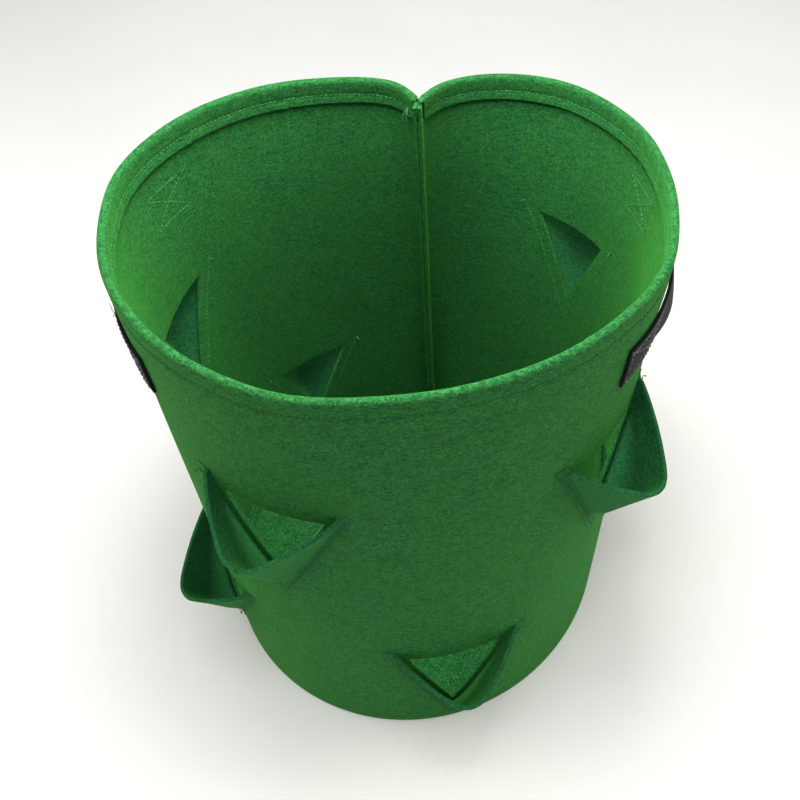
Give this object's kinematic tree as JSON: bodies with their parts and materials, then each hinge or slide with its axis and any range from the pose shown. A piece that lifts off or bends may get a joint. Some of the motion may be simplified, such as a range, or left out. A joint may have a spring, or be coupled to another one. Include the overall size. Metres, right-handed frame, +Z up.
{
  "type": "fabric grow bag",
  "caption": "Round open-topped felt grow bag with a hemmed rim, a back seam, flap pockets over cut holes in two staggered rows, and webbing side handles.",
  "frame": {"origin": "middle of the base's underside, on the surface that the bag stands on", "axes": "+Z up through the open top, +Y towards the side seam at the back, +X towards the right handle"},
  "size_m": [0.4238, 0.391, 0.4044],
  "materials": {
    "felt_wall": "matte needle-punched felt",
    "felt_base": "matte needle-punched felt",
    "felt_flap": "matte needle-punched felt",
    "webbing": "woven polypropylene webbing, slight sheen",
    "thread_green": "polyester sewing thread",
    "thread_grey": "polyester sewing thread"
  },
  "bodies": {
    "root": {"wall_panel": "felt_wall", "base_disc": "felt_base", "pocket_flap_1": "felt_flap", "pocket_flap_2": "felt_flap", "pocket_flap_3": "felt_flap", "pocket_flap_4": "felt_flap", "pocket_flap_5": "felt_flap", "pocket_flap_6": "felt_flap", "pocket_flap_7": "felt_flap", "pocket_flap_8": "felt_flap", "pocket_thread_outer_1": "thread_green", "pocket_thread_inner_1": "thread_green", "pocket_thread_outer_2": "thread_green", "pocket_thread_inner_2": "thread_green", "pocket_thread_outer_3": "thread_green", "pocket_thread_inner_3": "thread_green", "pocket_thread_outer_4": "thread_green", "pocket_thread_inner_4": "thread_green", "pocket_thread_outer_5": "thread_green", "pocket_thread_inner_5": "thread_green", "pocket_thread_outer_6": "thread_green", "pocket_thread_inner_6": "thread_green", "pocket_thread_outer_7": "thread_green", "pocket_thread_inner_7": "thread_green", "pocket_thread_outer_8": "thread_green", "pocket_thread_inner_8": "thread_green", "handle_right_front_end": "webbing", "handle_right_back_end": "webbing", "box_stitches_outer_right_front": "thread_grey", "box_stitches_inner_right_front": "thread_green", "box_stitches_outer_right_back": "thread_grey", "box_stitches_inner_right_back": "thread_green", "handle_left_front_end": "webbing", "handle_left_back_end": "webbing", "box_stitches_outer_left_front": "thread_grey", "box_stitches_inner_left_front": "thread_green", "box_stitches_outer_left_back": "thread_grey", "box_stitches_inner_left_back": "thread_green", "hem_thread_outer": "thread_green", "hem_thread_inner": "thread_green", "side_seam_thread_right": "thread_green", "side_seam_thread_left": "thread_green", "base_seam_thread": "thread_green"},
    "handle_right": {"handle_right_loop": "webbing"},
    "handle_left": {"handle_left_loop": "webbing"}
  },
  "joints": [
    {"name": "handle_right_lift", "type": "hinge", "parent": "root", "child": "handle_right", "pos_m": [0.16397, -0.00323, 0.35581], "axis": [-0.0594, -0.9982, -0.0021], "range_deg": [0, 45]},
    {"name": "handle_left_lift", "type": "hinge", "parent": "root", "child": "handle_left", "pos_m": [-0.1681, -0.03913, 0.36607], "axis": [-0.1515, 0.9858, 0.0729], "range_deg": [0, 45]}
  ]
}
